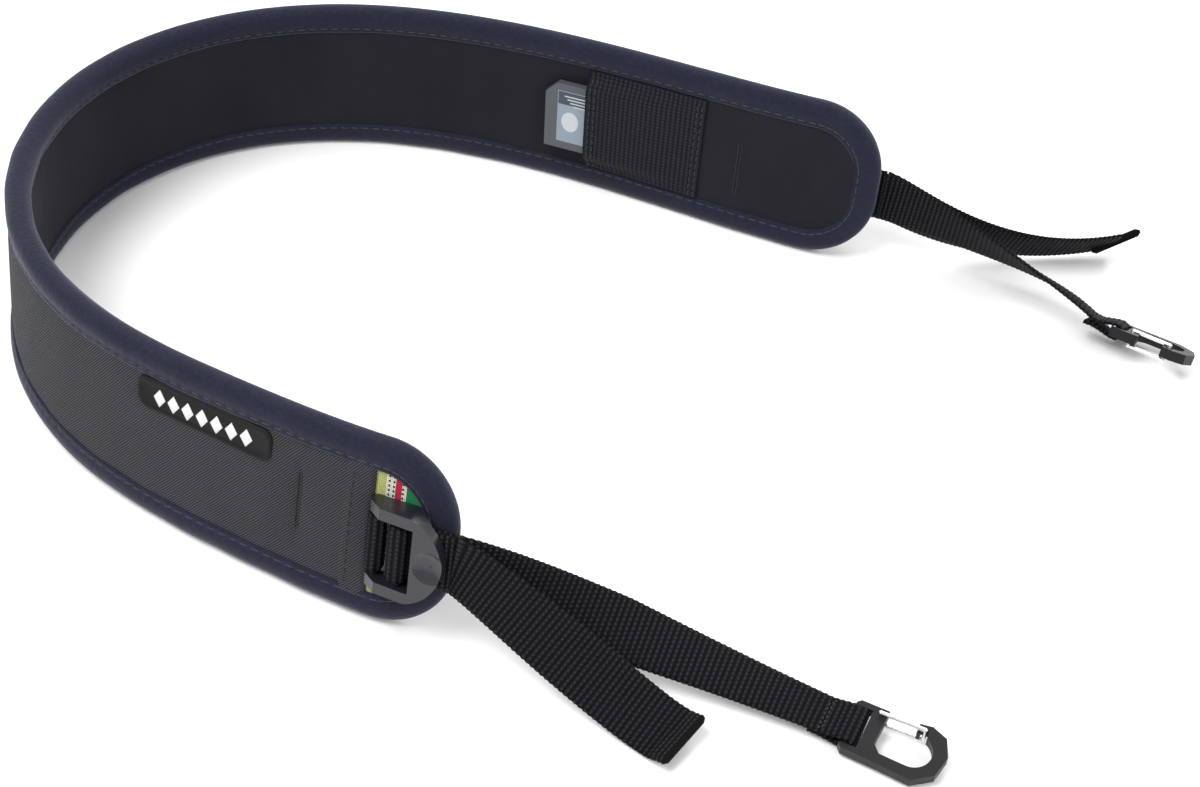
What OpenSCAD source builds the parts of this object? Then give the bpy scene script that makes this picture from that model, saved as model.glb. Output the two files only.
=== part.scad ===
// Padded strap standing on its edge in a loop, with an adjustable webbing end, a ladder-lock
// buckle and a wire-gate clip at each end. Millimetres, +Z up, standing on z = 0.

/* [Pad] */
// Length of the pad, measured along its middle
pad_len = 515; // [480:1:560]
// Height of the pad
pad_h = 52; // [46:1:60]
// Thickness over the binding
pad_t = 6.6; // [6.4:0.1:7.5]
// Radius of the pad's corners
end_r = 22; // [16:1:24]
// Width of the binding on each face
bind_w = 8; // [6:0.5:10]

/* [Webbing] */
// Width of the webbing
web_w = 16; // [14:0.5:17]
// Thickness of the webbing
web_t = 1.3; // [1.1:0.1:1.4]
// Width of the webbing where it is squeezed into the clip's slot
loop_w = 10.6; // [9:0.2:11]

/* [Buckle] */
// Width of the buckle
buckle_w = 24.5; // [24:0.5:28]
// Radius of the bar that the strap wraps
mid_bar_r = 1.5; // [1.2:0.1:1.5]

/* [Clip] */
// Thickness of the clip's plate
clip_t = 3; // [2.4:0.1:3.2]
// Radius of the clip's slot bar
slot_bar_r = 1.3; // [1:0.1:1.4]
// Radius of the gate's wire
wire_r = 0.55; // [0.4:0.05:0.6]

/* [Memory card] */
// Length of the card
card_l = 32; // [32:0.5:33]
// Width of the card
card_w = 24; // [23:0.5:24]
// Thickness of the card
card_t = 2.1; // [1.8:0.1:2.2]

/* [Hidden] */
$fn = 48;
// Turn of the pad, in degrees over an eighth of its length, at nine even places from the far end
turns = [-19, 1, 15, 35, 49, 41, 34, 3, 24];
far_start = [82.34, 69.33];
far_heading = 164.9;
// Lean of the pad's top edge towards the inside of the loop, at the far end and the near end
lean_far = -8;
lean_near = 18;

path_n = 206;
path_step = pad_len / path_n;

// Layers, as offsets from the middle of the pad: negative is the outer face
panel_out = pad_t / 2 - 0.7;
panel_in = panel_out - 0.6;
core_out = panel_in - 0.3;
edge_inset = 1.2;
// Half the flat on the binding's outer edge, which the pad stands on
edge_flat = 1.5;

// Places along the pad, measured back from each end
bartack_inset = 45;
panel_inset = 23;
textile_inset = 20.4;
hem_w = 8;

// Buckle frame: its origin is this far in from the pad's end and this far out from its face
buckle_inset = 11;
buckle_lift = 0.4;
// Height of each buckle's middle up the pad
near_buckle_v = 26;
far_buckle_v = 22;
anchor_bar = [-9, 1.7];
anchor_bar_r = 1.1;
mid_bar = [-2.3, 3.5];
exit_a = 12;
run_c = 0.95;
tail_c = 2.55;
rail_w = 3.15;
// The wrap stops this far short of the hinge line of each webbing end, so that both can turn
wrap_gap = 0.75;

// Clip frame: its origin is the middle of the slot bar, +x to the nose, +y to the gate
slot_half = loop_w / 2 + 0.3;
loop_in = slot_bar_r + 0.1;
loop_out = loop_in + web_t;
slot_front = 3;
hook_at = [15.2, -0.1];
hook_r = 4.8;
pivot = [4.9, 5.4];
gate_end = [16.25, 5.6];
leg_z = clip_t / 2 + 0.35 + wire_r;

// Route of each webbing end: where its clip or its tail end lies, and how it is turned there
near_clip_at = [65.14, -111.67, 3.5];
near_clip_heading = -25;
near_clip_roll = 84;
far_clip_at = [155.44, 35.23, 6.2];
far_clip_heading = -31;
far_clip_roll = -60;
near_tail_end = [21.64, -116.57, 3.7];
near_tail_heading = -46;
near_tail_roll = 79;
far_tail_end = [160.94, 74.23, 9.1];
far_tail_heading = 11;
far_tail_roll = -35;
// Handles of each curve: length at the buckle, length at the other end, and how far that one is raised
near_strap_handles = [7, 51, 0.4];
far_strap_handles = [7.2, 16.8, 9.5];
near_tail_handles = [6.9, 10, -6.5];
far_tail_handles = [7, 41.4, -6.1];
// Angle at which each tail leaves its buckle, turned out from the pad
near_tail_out = 0;
far_tail_out = -11;
// Folded stop across a tail's end; the far one is skewed against its webbing
stop_depth = 4.6;
stop_t = 2.8;
far_stop_across = [0.87, 0.11, 0.48];
far_stop_toward = [0.25, 0.75, -0.61];

card_s = 94;
card_c = 4.7;
// The card's outer end is turned away from the curved pad by this much
card_tilt = 3;
pocket_s = [57, 96];
label_s = [419, 462];
label_v = [34.5, pad_h - bind_w - 0.1];

// ---- The pad's path and its frame ----

function turn_at(s) =
    let (u = min(max(s / pad_len * 8, 0), 7.9999), i = floor(u))
    turns[i] + (turns[i + 1] - turns[i]) * (u - i);

path = [
    for (i = 0, p = far_start, h = far_heading;
         i <= path_n;
         h2 = h + turn_at((i + 0.5) * path_step) * 8 / path_n,
         p = p + path_step * [cos((h + h2) / 2), sin((h + h2) / 2)],
         h = h2,
         i = i + 1)
    [p.x, p.y, h]
];

function path_at(s) =
    let (u = min(max(s / path_step, 0), path_n - 0.0001), i = floor(u))
    path[i] + (path[i + 1] - path[i]) * (u - i);

function lean_at(s) = lean_far + (lean_near - lean_far) * s / pad_len;
function along(s) = let (h = path_at(s)[2]) [cos(h), sin(h), 0];
function across(s) = let (h = path_at(s)[2]) [-sin(h), cos(h), 0];
function up(s) = sin(lean_at(s)) * across(s) + cos(lean_at(s)) * [0, 0, 1];
function inward(s) = cos(lean_at(s)) * across(s) - sin(lean_at(s)) * [0, 0, 1];
function lift_at(s) = edge_flat * abs(sin(lean_at(s)));

// A point at s along the pad, v up its face and t from its middle towards the inside of the loop
function on_pad(s, v, t) =
    let (p = path_at(s)) [p.x, p.y, lift_at(s)] + v * up(s) + t * inward(s);

module frame(p, a, b, c) {
    multmatrix([[a.x, b.x, c.x, p.x], [a.y, b.y, c.y, p.y], [a.z, b.z, c.z, p.z], [0, 0, 0, 1]]) children();
}

// ---- Solids made of rings of points ----

function quad(i, j, m, n) =
    let (a = i * m + j, b = i * m + (j + 1) % m, c = ((i + 1) % n) * m + (j + 1) % m, d = ((i + 1) % n) * m + j)
    [[a, c, b], [a, d, c]];

module skin(rings, closed = false) {
    n = len(rings);
    m = len(rings[0]);
    points = [for (r = rings) each r];
    sides = [for (i = [0:(closed ? n - 1 : n - 2)]) for (j = [0:m - 1]) each quad(i, j, m, n)];
    caps = closed ? [] : [[for (j = [0:m - 1]) j], [for (j = [m - 1:-1:0]) (n - 1) * m + j]];
    polyhedron(points, concat(sides, caps), convexity = 10);
}

// A section in (v, t) carried along the pad from s1 to s2
module pad_sweep(s1, s2, section, step = 5) {
    n = max(1, ceil((s2 - s1) / step));
    skin([for (i = [0:n]) let (s = s1 + (s2 - s1) * i / n) [for (q = section) on_pad(s, q[0], q[1])]]);
}

function box_section(v1, v2, t1, t2) = [[v1, t1], [v1, t2], [v2, t2], [v2, t1]];

// How far the pad's outline, inset by e, is from its bottom and top edges at s
function edge_v(s, e) =
    let (d = min(s, pad_len - s), k = min(max(end_r - d, 0), end_r - e))
    end_r - sqrt(max((end_r - e) * (end_r - e) - k * k, 0));

function end_places(e) = [for (a = [0:9:81]) end_r - (end_r - e) * cos(a)];
function layer_places(e) = concat(
    end_places(e),
    [for (i = [0:86]) end_r + (pad_len - 2 * end_r) * i / 86],
    [for (i = [9:-1:0]) pad_len - end_places(e)[i]]
);

// A flat layer of the pad, inset by e from its outline, between s1 and s2
module layer(e, t1, t2, s1 = 0, s2 = pad_len) {
    inner = [for (s = layer_places(e)) if (s > s1 + 0.5 && s < s2 - 0.5) s];
    places = concat(s1 > e ? [s1] : [], inner, s2 < pad_len - e ? [s2] : []);
    skin([for (s = places) [for (q = box_section(edge_v(s, e), pad_h - edge_v(s, e), t1, t2)) on_pad(s, q[0], q[1])]]);
}

// ---- The pad ----

module pad_core() {
    color("#2a2a2c")
    difference() {
        layer(edge_inset, -core_out, core_out);
        webbing_pocket(pad_len - 49, near_buckle_v);
        webbing_pocket(textile_inset + 0.4, far_buckle_v);
    }
}

// Room in the core for the end of the anchor webbing
module webbing_pocket(s, v) {
    half = web_w / 2 + 0.3;
    pad_sweep(s, s + 49 - textile_inset - 0.4, box_section(v - half, v + half, -core_out - 1, 0.9));
}

module outer_panel() {
    color("#3a3b3f")
    union() {
        layer(edge_inset, -panel_out, -panel_in, panel_inset, pad_len - panel_inset);
        for (s1 = [panel_inset, pad_len - panel_inset - hem_w])
            pad_sweep(s1, s1 + hem_w, box_section(bind_w + 0.1, pad_h - bind_w - 0.1, -panel_out - 0.6, -panel_out + 0.1));
    }
}

module inner_panel() {
    color("#222226") layer(edge_inset, panel_in, panel_out);
}

module textile_tab(s1, s2) {
    color("#9b8f4a") layer(edge_inset, -panel_out, -panel_in, s1, s2);
}

// Outline of the pad as [s, v, inward s, inward v], once round
function corner(s0, v0, a1) =
    [for (a = [a1:10:a1 + 90]) [s0 + end_r * cos(a), v0 + end_r * sin(a), -cos(a), -sin(a)]];
function run_places() = [for (i = [1:74]) end_r + (pad_len - 2 * end_r) * i / 75];
pad_outline = concat(
    [for (s = run_places()) [s, 0, 0, 1]],
    corner(pad_len - end_r, end_r, -90),
    corner(pad_len - end_r, pad_h - end_r, 0),
    [for (s = run_places()) [pad_len - s, pad_h, 0, -1]],
    corner(end_r, pad_h - end_r, 90),
    corner(end_r, end_r, 180)
);

module edge_binding() {
    face = pad_t / 2;
    inside = face - 0.6;
    section = [
        [bind_w, -face], [2.2, -face], [0.7, -face + 0.7], [0, -edge_flat], [0, edge_flat],
        [0.7, face - 0.7], [2.2, face], [bind_w, face], [bind_w, inside], [1.1, inside],
        [1.1, -inside], [bind_w, -inside]
    ];
    color("#1f2740")
    skin([for (o = pad_outline) [for (q = section) on_pad(o[0] + q[0] * o[2], o[1] + q[0] * o[3], q[1])]], closed = true);
}

module rubber_label() {
    color("#141414")
    pad_sweep(label_s[0], label_s[1], box_section(label_v[0], label_v[1], -panel_out - 1.1, -panel_out - 0.1));
}

module elastic_pocket() {
    low = bind_w + 0.3;
    high = pad_h - bind_w - 0.3;
    base = panel_out + 0.1;
    top = card_c + card_t / 2 + 0.4;
    wall_t = 0.8;
    arch = [
        [low, base], [low, base + wall_t], [low + 3.9, top + wall_t], [high - 3.9, top + wall_t],
        [high, base + wall_t], [high, base], [high - 1.5, base], [high - 4.5, top], [low + 4.5, top],
        [low + 1.5, base]
    ];
    wall = [for (i = [0:5]) arch[i]];
    color("#1a1a1c")
    union() {
        pad_sweep(pocket_s[0] + 1, pocket_s[1], arch);
        pad_sweep(pocket_s[0], pocket_s[0] + 1.5, wall);
    }
}

// ---- Buckle frame: a runs out past the pad's end, b across, c away from the outer face ----

function buckle_s(end) = end == "near" ? pad_len - buckle_inset : buckle_inset;
function buckle_side(end) = end == "near" ? 1 : -1;
function buckle_v(end) = end == "near" ? near_buckle_v : far_buckle_v;
function buckle_at(end) = on_pad(buckle_s(end), buckle_v(end), -pad_t / 2 - buckle_lift);

module at_buckle(end) {
    s = buckle_s(end);
    side = buckle_side(end);
    frame(buckle_at(end), side * along(s), side * up(s), -inward(s)) children();
}

// A profile in (a, c), drawn across the buckle from b1 to b2
module slab(b1, b2) {
    translate([0, b2, 0]) rotate([90, 0, 0]) linear_extrude(b2 - b1) children();
}

module anchor_webbing(end) {
    s1 = end == "near" ? pad_len - 48 : panel_inset + 1.5;
    s2 = end == "near" ? pad_len - panel_inset - 1.5 : 48;
    half = web_w / 2;
    color("#121212")
    union() {
        at_buckle(end)
            slab(-half, half)
                difference() {
                    union() {
                        translate(anchor_bar) circle(anchor_bar_r + 0.1 + web_t);
                        polygon([
                            [-11.5, 1.7], [-9, 1.7], [-9, -0.6], [-9.8, -1], [-10.4, -4],
                            [-14, -4], [-14, -2.9], [-11.3, -2.9], [-11.3, 0]
                        ]);
                    }
                    translate(anchor_bar) circle(anchor_bar_r + 0.1);
                }
        pad_sweep(s1, s2, box_section(buckle_v(end) - half, buckle_v(end) + half, -core_out + 0.05, 0.75));
    }
}

module anchor_bartack(s, v) {
    color("#0c0c0c")
    pad_sweep(s - 0.6, s + 0.6, box_section(v - 10, v + 10, -panel_out - 0.25, panel_out + 0.25));
}

module ladder_lock(end) {
    half = buckle_w / 2;
    inner = half - rail_w;
    color("#303236")
    at_buckle(end)
        difference() {
            union() {
                for (side = [-1, 1]) buckle_rail(side, inner, half);
                slab(-inner - 0.5, inner + 0.5) translate(anchor_bar) circle(anchor_bar_r);
                slab(-inner - 0.5, inner + 0.5) translate(mid_bar) circle(mid_bar_r);
                buckle_tab(half);
            }
            translate([7.4, 0, 14.2]) sphere(8.6);
        }
}

module buckle_rail(side, inner, half) {
    intersection() {
        slab(min(side * inner, side * half), max(side * inner, side * half))
            union() {
                translate(anchor_bar) circle(1.9);
                polygon([[-9, 0.3], [2, 0.3], [6, 3.6], [9.8, 3.9], [9.8, 6.9], [1, 6.9], [-7, 6.2], [-10.6, 3.2]]);
            }
        linear_extrude(8) buckle_outline(half);
    }
}

module buckle_outline(half) {
    intersection() {
        translate([-12, -half]) square([24, 2 * half]);
        union() {
            translate([-12, -half]) square([10, 2 * half]);
            translate([-2.4, 0]) circle(half + 0.65, $fn = 96);
        }
    }
}

module buckle_tab(half) {
    translate([0, 0, 3.7])
        linear_extrude(3.2)
            intersection() {
                buckle_outline(half);
                translate([2.4, -half]) square([9, 2 * half]);
            }
}

// Webbing inside the buckle: in under the bars, over the middle bar and out under the thumb tab
module strap_wrap(end) {
    half = web_w / 2;
    inner = mid_bar_r + 0.1;
    outer = inner + web_t;
    left = mid_bar.x - outer;
    right = mid_bar.x + inner;
    low = run_c - web_t / 2;
    high = tail_c - web_t / 2;
    color("#151515")
    at_buckle(end)
        slab(-half, half)
            union() {
                intersection() {
                    difference() {
                        translate(mid_bar) circle(outer);
                        translate(mid_bar) circle(inner);
                    }
                    translate([left, mid_bar.y]) square([2 * outer, outer]);
                }
                translate([left, low]) square([web_t, mid_bar.y - low + 0.01]);
                translate([left, low]) square([exit_a - wrap_gap - left, web_t]);
                translate([right, high]) square([web_t, mid_bar.y - high + 0.01]);
                translate([right, high]) square([exit_a - wrap_gap - right, web_t]);
            }
}

// ---- Webbing outside the buckle ----

function bezier(p, u) =
    pow(1 - u, 3) * p[0] + 3 * u * pow(1 - u, 2) * p[1] + 3 * u * u * (1 - u) * p[2] + pow(u, 3) * p[3];
function slope(p, u) =
    3 * pow(1 - u, 2) * (p[1] - p[0]) + 6 * u * (1 - u) * (p[2] - p[1]) + 3 * u * u * (p[3] - p[2]);
function unit(v) = v / norm(v);
function ease(u) = u * u * (3 - 2 * u);
function heading(h) = [cos(h), sin(h), 0];

// Width direction of a ribbon running along d, turned by roll from upright towards its left side
function width_dir(d, roll) =
    let (side = unit(cross([0, 0, 1], d)), rise = cross(d, side)) cos(roll) * rise + sin(roll) * side;

// A ribbon of webbing along a curve, its roll and its width changing from the first to the second
module ribbon(curve, rolls, widths) {
    n = 22;
    skin([
        for (i = [0:n])
            let (
                u = i / n,
                p = bezier(curve, u),
                d = unit(slope(curve, u)),
                w = width_dir(d, rolls[0] + (rolls[1] - rolls[0]) * ease(u)),
                f = cross(d, w),
                half = (widths[0] + (widths[1] - widths[0]) * max(0, (u - 0.6) / 0.4)) / 2,
                e = web_t / 2
            )
            [p - half * w - e * f, p + half * w - e * f, p + half * w + e * f, p - half * w + e * f]
    ]);
}

// Where the webbing leaves a buckle, c from its face, and which way it starts, turned out by a
function exit_at(end, c) =
    let (s = buckle_s(end))
    buckle_at(end) - c * inward(s) + exit_a * buckle_side(end) * along(s);
function exit_dir(end, a) =
    let (s = buckle_s(end)) cos(a) * buckle_side(end) * along(s) - sin(a) * inward(s);

function clip_at(end) = end == "near" ? near_clip_at : far_clip_at;
function clip_x(end) = heading(end == "near" ? near_clip_heading : far_clip_heading);
function clip_y(end) = width_dir(clip_x(end), end == "near" ? near_clip_roll : far_clip_roll);
function clip_z(end) = cross(clip_x(end), clip_y(end));
// The layer that faces up where the loop is sewn
function loop_side(end) = end == "near" ? 1 : -1;
function loop_back(end) = clip_at(end) - 7 * clip_x(end) + loop_side(end) * (web_t / 2 + 0.02) * clip_z(end);

function strap_curve(end) =
    let (
        a = exit_at(end, run_c),
        h = end == "near" ? near_strap_handles : far_strap_handles,
        b = loop_back(end)
    )
    [a, a + h[0] * exit_dir(end, 0), b - h[1] * clip_x(end) + [0, 0, h[2]], b];
strap_rolls = [[lean_near, near_clip_roll], [-lean_far, far_clip_roll]];

function tail_curve(end) =
    let (
        near = end == "near",
        a = exit_at(end, tail_c),
        d = exit_dir(end, near ? near_tail_out : far_tail_out),
        h = near ? near_tail_handles : far_tail_handles,
        b = near ? near_tail_end : far_tail_end,
        e = heading(near ? near_tail_heading : far_tail_heading)
    )
    [a, a + h[0] * d, b - h[1] * e + [0, 0, h[2]], b];
tail_rolls = [[lean_near, near_tail_roll], [-lean_far, far_tail_roll]];
function end_index(end) = end == "near" ? 0 : 1;

module at_clip(end) {
    frame(clip_at(end), clip_x(end), clip_y(end), clip_z(end)) children();
}

module strap(end) {
    up_side = loop_side(end);
    color("#181818")
    union() {
        ribbon(strap_curve(end), strap_rolls[end_index(end)], [web_w, loop_w]);
        at_clip(end)
            slab(-loop_w / 2, loop_w / 2)
                difference() {
                    union() {
                        circle(loop_out);
                        polygon([
                            [0, loop_out], [-7.5, web_t + 0.04], [-18, web_t * (1 - up_side) / 2 + 0.04],
                            [-18, -web_t * (1 + up_side) / 2 - 0.04], [-7.5, -web_t - 0.04], [0, -loop_out]
                        ]);
                    }
                    circle(loop_in);
                    polygon([[0, loop_in], [-5, 0], [0, -loop_in]]);
                }
    }
}

module loop_stitching(end) {
    color("#0a0a0a")
    at_clip(end)
        translate([-7.2, -loop_w / 2 + 0.8, -web_t - 0.25]) cube([1.4, loop_w - 1.6, 2 * web_t + 0.5]);
}

module tail(end) {
    color("#181818") ribbon(tail_curve(end), tail_rolls[end_index(end)], [web_w, web_w]);
}

// Folded and sewn stop across the end of a tail
module tail_stop(end) {
    near = end == "near";
    curve = tail_curve(end);
    d = near ? unit(slope(curve, 1)) : unit(far_stop_toward);
    w = near ? width_dir(d, near_tail_roll) : unit(far_stop_across);
    color("#101010")
    frame(curve[3] + (near ? 0.05 : -1) * d, d, w, unit(cross(d, w)))
        slab(-web_w / 2, web_w / 2)
            union() {
                translate([0, -stop_t / 2]) square([stop_depth - stop_t / 2, stop_t]);
                translate([stop_depth - stop_t / 2, 0]) circle(stop_t / 2);
            }
}

// ---- Clip ----

module clip_body(end) {
    color("#3c3e42")
    at_clip(end)
        difference() {
            union() {
                translate([0, 0, -clip_t / 2]) linear_extrude(clip_t) clip_outline();
                slab(-slot_half - 0.8, slot_half + 0.8) circle(slot_bar_r);
            }
            translate([pivot.x, pivot.y, -clip_t]) cylinder(h = 2 * clip_t, r = wire_r + 0.06);
        }
}

module clip_outline() {
    difference() {
        polygon([
            [-1.5, -6.2], [-0.5, -7.2], [6.5, -7.4], [17.5, -8], [22.3, -4.4], [23.5, 1.5],
            [21.6, 6.2], [17.6, 7.8], [14.4, 7.3], [10, 7.2], [3, 7.2], [-0.5, 7.2], [-1.5, 6.2]
        ]);
        translate([-3, -slot_half]) square([slot_front + 3, 2 * slot_half]);
        polygon([[6.9, 9], [6.3, -2.6], [8.3, -4.7], [15.2, -4.9], [15.2, 4.7], [14.4, 4.7], [14.4, 9]]);
        translate(hook_at) circle(hook_r);
        translate([15.3, 3]) square([1.9, 3.3]);
    }
}

module wire(a, b) {
    d = b - a;
    translate(a)
        rotate([0, acos(d.z / norm(d)), atan2(d.y, d.x)])
            cylinder(h = norm(d), r = wire_r);
}

module wire_gate(end) {
    color("#d9d9dc")
    at_clip(end)
        union() {
            for (side = [-1, 1]) {
                foot = [pivot.x, pivot.y, side * leg_z];
                nose = [gate_end.x, gate_end.y, side * leg_z];
                wire([pivot.x, pivot.y, side * 0.3], foot);
                wire(foot, nose);
                translate(foot) sphere(wire_r + 0.03);
                translate(nose) sphere(wire_r + 0.03);
            }
            wire([gate_end.x, gate_end.y, -leg_z], [gate_end.x, gate_end.y, leg_z]);
        }
}

// ---- Memory card: a runs out of the pocket, c out of the pad's inner face ----

module at_card() {
    frame(on_pad(card_s, pad_h / 2, card_c), along(card_s), -up(card_s), inward(card_s))
        rotate([0, -card_tilt, 0]) children();
}

module card_outline() {
    l = card_l / 2;
    w = card_w / 2;
    polygon([[-l, -w], [l - 4, -w], [l, -w + 4], [l, w], [-l, w]]);
}

module memory_card() {
    color("#3b3f46")
    at_card()
        difference() {
            translate([0, 0, -card_t / 2]) linear_extrude(card_t) card_outline();
            translate([-13, -9.5, card_t / 2 - 0.4]) cube([25, 19, 1]);
            translate([-7, card_w / 2 - 1.2, -0.75]) cube([6.6, 2, 1.5]);
        }
}

module card_label() {
    color("#8fa3b5")
    at_card() translate([-12.9, -9.4, card_t / 2 - 0.35]) cube([24.8, 18.8, 0.3]);
}

module card_lock_slider() {
    color("#c9cccf")
    at_card() translate([-6.8, card_w / 2 - 1.1, -0.6]) cube([3.2, 1.4, 1.2]);
}

// ---- Nodes ----

pad_core();
outer_panel();
inner_panel();
edge_binding();
rubber_label();
elastic_pocket();
textile_tab(pad_len - textile_inset, pad_len);  // near_textile_tab
textile_tab(0, textile_inset);  // far_textile_tab
anchor_webbing("near");  // near_anchor_webbing
anchor_webbing("far");  // far_anchor_webbing
anchor_bartack(pad_len - bartack_inset, near_buckle_v);  // near_anchor_bartack
anchor_bartack(bartack_inset, far_buckle_v);  // far_anchor_bartack
ladder_lock("near");  // near_ladder_lock
ladder_lock("far");  // far_ladder_lock
strap_wrap("near");  // near_strap_wrap
strap_wrap("far");  // far_strap_wrap
strap("near");  // near_strap
strap("far");  // far_strap
tail("near");  // near_tail
tail("far");  // far_tail
tail_stop("near");  // near_tail_stop
tail_stop("far");  // far_tail_stop
loop_stitching("near");  // near_loop_stitching
loop_stitching("far");  // far_loop_stitching
clip_body("near");  // near_clip_body
clip_body("far");  // far_clip_body
wire_gate("near");  // near_wire_gate
wire_gate("far");  // far_wire_gate
memory_card();
card_label();
card_lock_slider();
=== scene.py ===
"""Looks for a padded strap with two adjustable webbing ends. Lengths are in metres."""

import math

import bmesh
import bpy
import numpy as np
from mathutils import Matrix

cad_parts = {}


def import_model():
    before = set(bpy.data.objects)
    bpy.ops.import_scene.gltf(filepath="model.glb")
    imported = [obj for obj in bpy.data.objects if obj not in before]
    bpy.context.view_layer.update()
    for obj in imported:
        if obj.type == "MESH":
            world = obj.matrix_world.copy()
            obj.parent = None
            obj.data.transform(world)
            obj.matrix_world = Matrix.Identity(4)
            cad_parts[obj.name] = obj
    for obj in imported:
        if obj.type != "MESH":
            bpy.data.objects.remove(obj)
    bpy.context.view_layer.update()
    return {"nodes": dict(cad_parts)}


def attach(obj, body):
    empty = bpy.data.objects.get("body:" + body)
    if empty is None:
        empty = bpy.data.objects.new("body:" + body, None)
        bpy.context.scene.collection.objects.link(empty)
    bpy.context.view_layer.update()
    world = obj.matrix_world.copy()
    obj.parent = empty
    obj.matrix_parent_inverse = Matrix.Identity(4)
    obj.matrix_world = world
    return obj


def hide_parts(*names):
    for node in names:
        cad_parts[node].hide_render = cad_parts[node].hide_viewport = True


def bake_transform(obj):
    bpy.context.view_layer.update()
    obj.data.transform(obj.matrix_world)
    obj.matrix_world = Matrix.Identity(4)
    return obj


MM = 0.001

# ---- Driving sizes, as in part.scad, in millimetres and degrees ----
PAD_LEN = 515.0
PAD_H = 52.0
PAD_T = 6.6
END_R = 22.0
BIND_W = 8.0
WEB_W = 16.0
WEB_T = 1.3
LOOP_W = 10.6
MID_BAR_R = 1.5
SLOT_BAR_R = 1.3
TURNS = [-19, 1, 15, 35, 49, 41, 34, 3, 24]
FAR_START = (82.34, 69.33)
FAR_HEADING = 164.9
LEAN_FAR, LEAN_NEAR = -8.0, 18.0
PATH_N = 206
EDGE_FLAT = 1.5
PANEL_OUT = PAD_T / 2 - 0.7
PANEL_IN = PANEL_OUT - 0.6
EDGE_INSET = 1.2
BARTACK_INSET = 45.0
PANEL_INSET = 23.0
TEXTILE_INSET = 20.4
BUCKLE_INSET = 11.0
BUCKLE_LIFT = 0.4
BUCKLE_V = {"near": 26.0, "far": 22.0}
ANCHOR_BAR = (-9.0, 1.7)
ANCHOR_BAR_R = 1.1
MID_BAR = (-2.3, 3.5)
EXIT_A = 12.0
RUN_C, TAIL_C = 0.95, 2.55
CLIP_AT = {"near": (65.14, -111.67, 3.5), "far": (155.44, 35.23, 6.2)}
CLIP_HEADING = {"near": -25.0, "far": -31.0}
CLIP_ROLL = {"near": 84.0, "far": -60.0}
LOOP_SIDE = {"near": 1, "far": -1}
TAIL_END = {"near": (21.64, -116.57, 3.7), "far": (160.94, 74.23, 9.1)}
TAIL_HEADING = {"near": -46.0, "far": 11.0}
TAIL_ROLL = {"near": 79.0, "far": -35.0}
TAIL_OUT = {"near": 0.0, "far": -11.0}
# Handles of each curve: length at the buckle, length at the other end, and how far that one is raised
STRAP_HANDLES = {"near": (7.0, 51.0, 0.4), "far": (7.2, 16.8, 9.5)}
TAIL_HANDLES = {"near": (6.9, 10.0, -6.5), "far": (7.0, 41.4, -6.1)}
FAR_STOP_ACROSS = (0.87, 0.11, 0.48)
FAR_STOP_TOWARD = (0.25, 0.75, -0.61)
STOP_DEPTH = 4.6
CARD_S, CARD_C, CARD_TILT = 94.0, 4.7, 3.0
CARD_T = 2.1
POCKET_S = (57.0, 96.0)
LABEL_S = (419.0, 462.0)
LABEL_V = (34.5, 43.9)
STITCH_PITCH = 3.6
RIB_PITCH = 1.5
# Width of the hem at each end of the twill, and how far its stitches are from the pad's end
HEM_W = 7.5
HEM_STITCH_INSET = 29.0
# How far the binding's seam is from its outer edge, and the seam's height over the pad's middle
SEAM_D, SEAM_T = 6.5, 3.12
# Room between a bar and the webbing round it
BAR_GAP = 0.1
# Where a sewn loop closes and where its stitches run, back from the clip's slot bar
LOOP_CLOSES, LOOP_SEAM = 7.0, 7.2
# Half the height of a bartack, and half that of the dip it pulls into the pad
BARTACK_HALF, DIP_HALF = 9.0, 14.0

ENDS = ("near", "far")


# ---- The pad's path and its frame, in millimetres ----

def pad_path():
    """Stations along the pad: arrays of x, y and heading in degrees."""
    step = PAD_LEN / PATH_N
    x, y, h = FAR_START[0], FAR_START[1], FAR_HEADING
    rows = [(x, y, h)]
    for i in range(PATH_N):
        turn = np.interp((i + 0.5) * step / PAD_LEN * 8, range(9), TURNS)
        h2 = h + turn * 8 / PATH_N
        mid = math.radians((h + h2) / 2)
        x, y, h = x + step * math.cos(mid), y + step * math.sin(mid), h2
        rows.append((x, y, h))
    return np.array(rows)


PATH = pad_path()
PATH_S = np.linspace(0, PAD_LEN, PATH_N + 1)


def directions(s):
    """Unit vectors along the pad, up its face and in towards the loop, and the base point, at s."""
    h = np.radians(np.interp(s, PATH_S, PATH[:, 2]))
    lean = np.radians(LEAN_FAR + (LEAN_NEAR - LEAN_FAR) * np.asarray(s) / PAD_LEN)
    zero = np.zeros_like(h)
    along = np.stack([np.cos(h), np.sin(h), zero], -1)
    left = np.stack([-np.sin(h), np.cos(h), zero], -1)
    z = np.stack([zero, zero, zero + 1], -1)
    up = np.sin(lean)[..., None] * left + np.cos(lean)[..., None] * z
    inward = np.cos(lean)[..., None] * left - np.sin(lean)[..., None] * z
    base = np.stack([np.interp(s, PATH_S, PATH[:, 0]), np.interp(s, PATH_S, PATH[:, 1]),
                     EDGE_FLAT * np.abs(np.sin(lean))], -1)
    return along, up, inward, base


def on_pad(s, v, t):
    """Points at s along the pad, v up its face and t towards the inside of the loop."""
    s, v, t = np.broadcast_arrays(np.asarray(s, float), np.asarray(v, float), np.asarray(t, float))
    _, up, inward, base = directions(s)
    return base + v[..., None] * up + t[..., None] * inward


def edge_v(s, inset):
    """How far the pad's outline, moved in by inset, is from its bottom and top edges at s."""
    k = np.clip(END_R - np.minimum(s, PAD_LEN - s), 0, END_R - inset)
    return END_R - np.sqrt(np.maximum((END_R - inset) ** 2 - k ** 2, 0))


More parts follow.
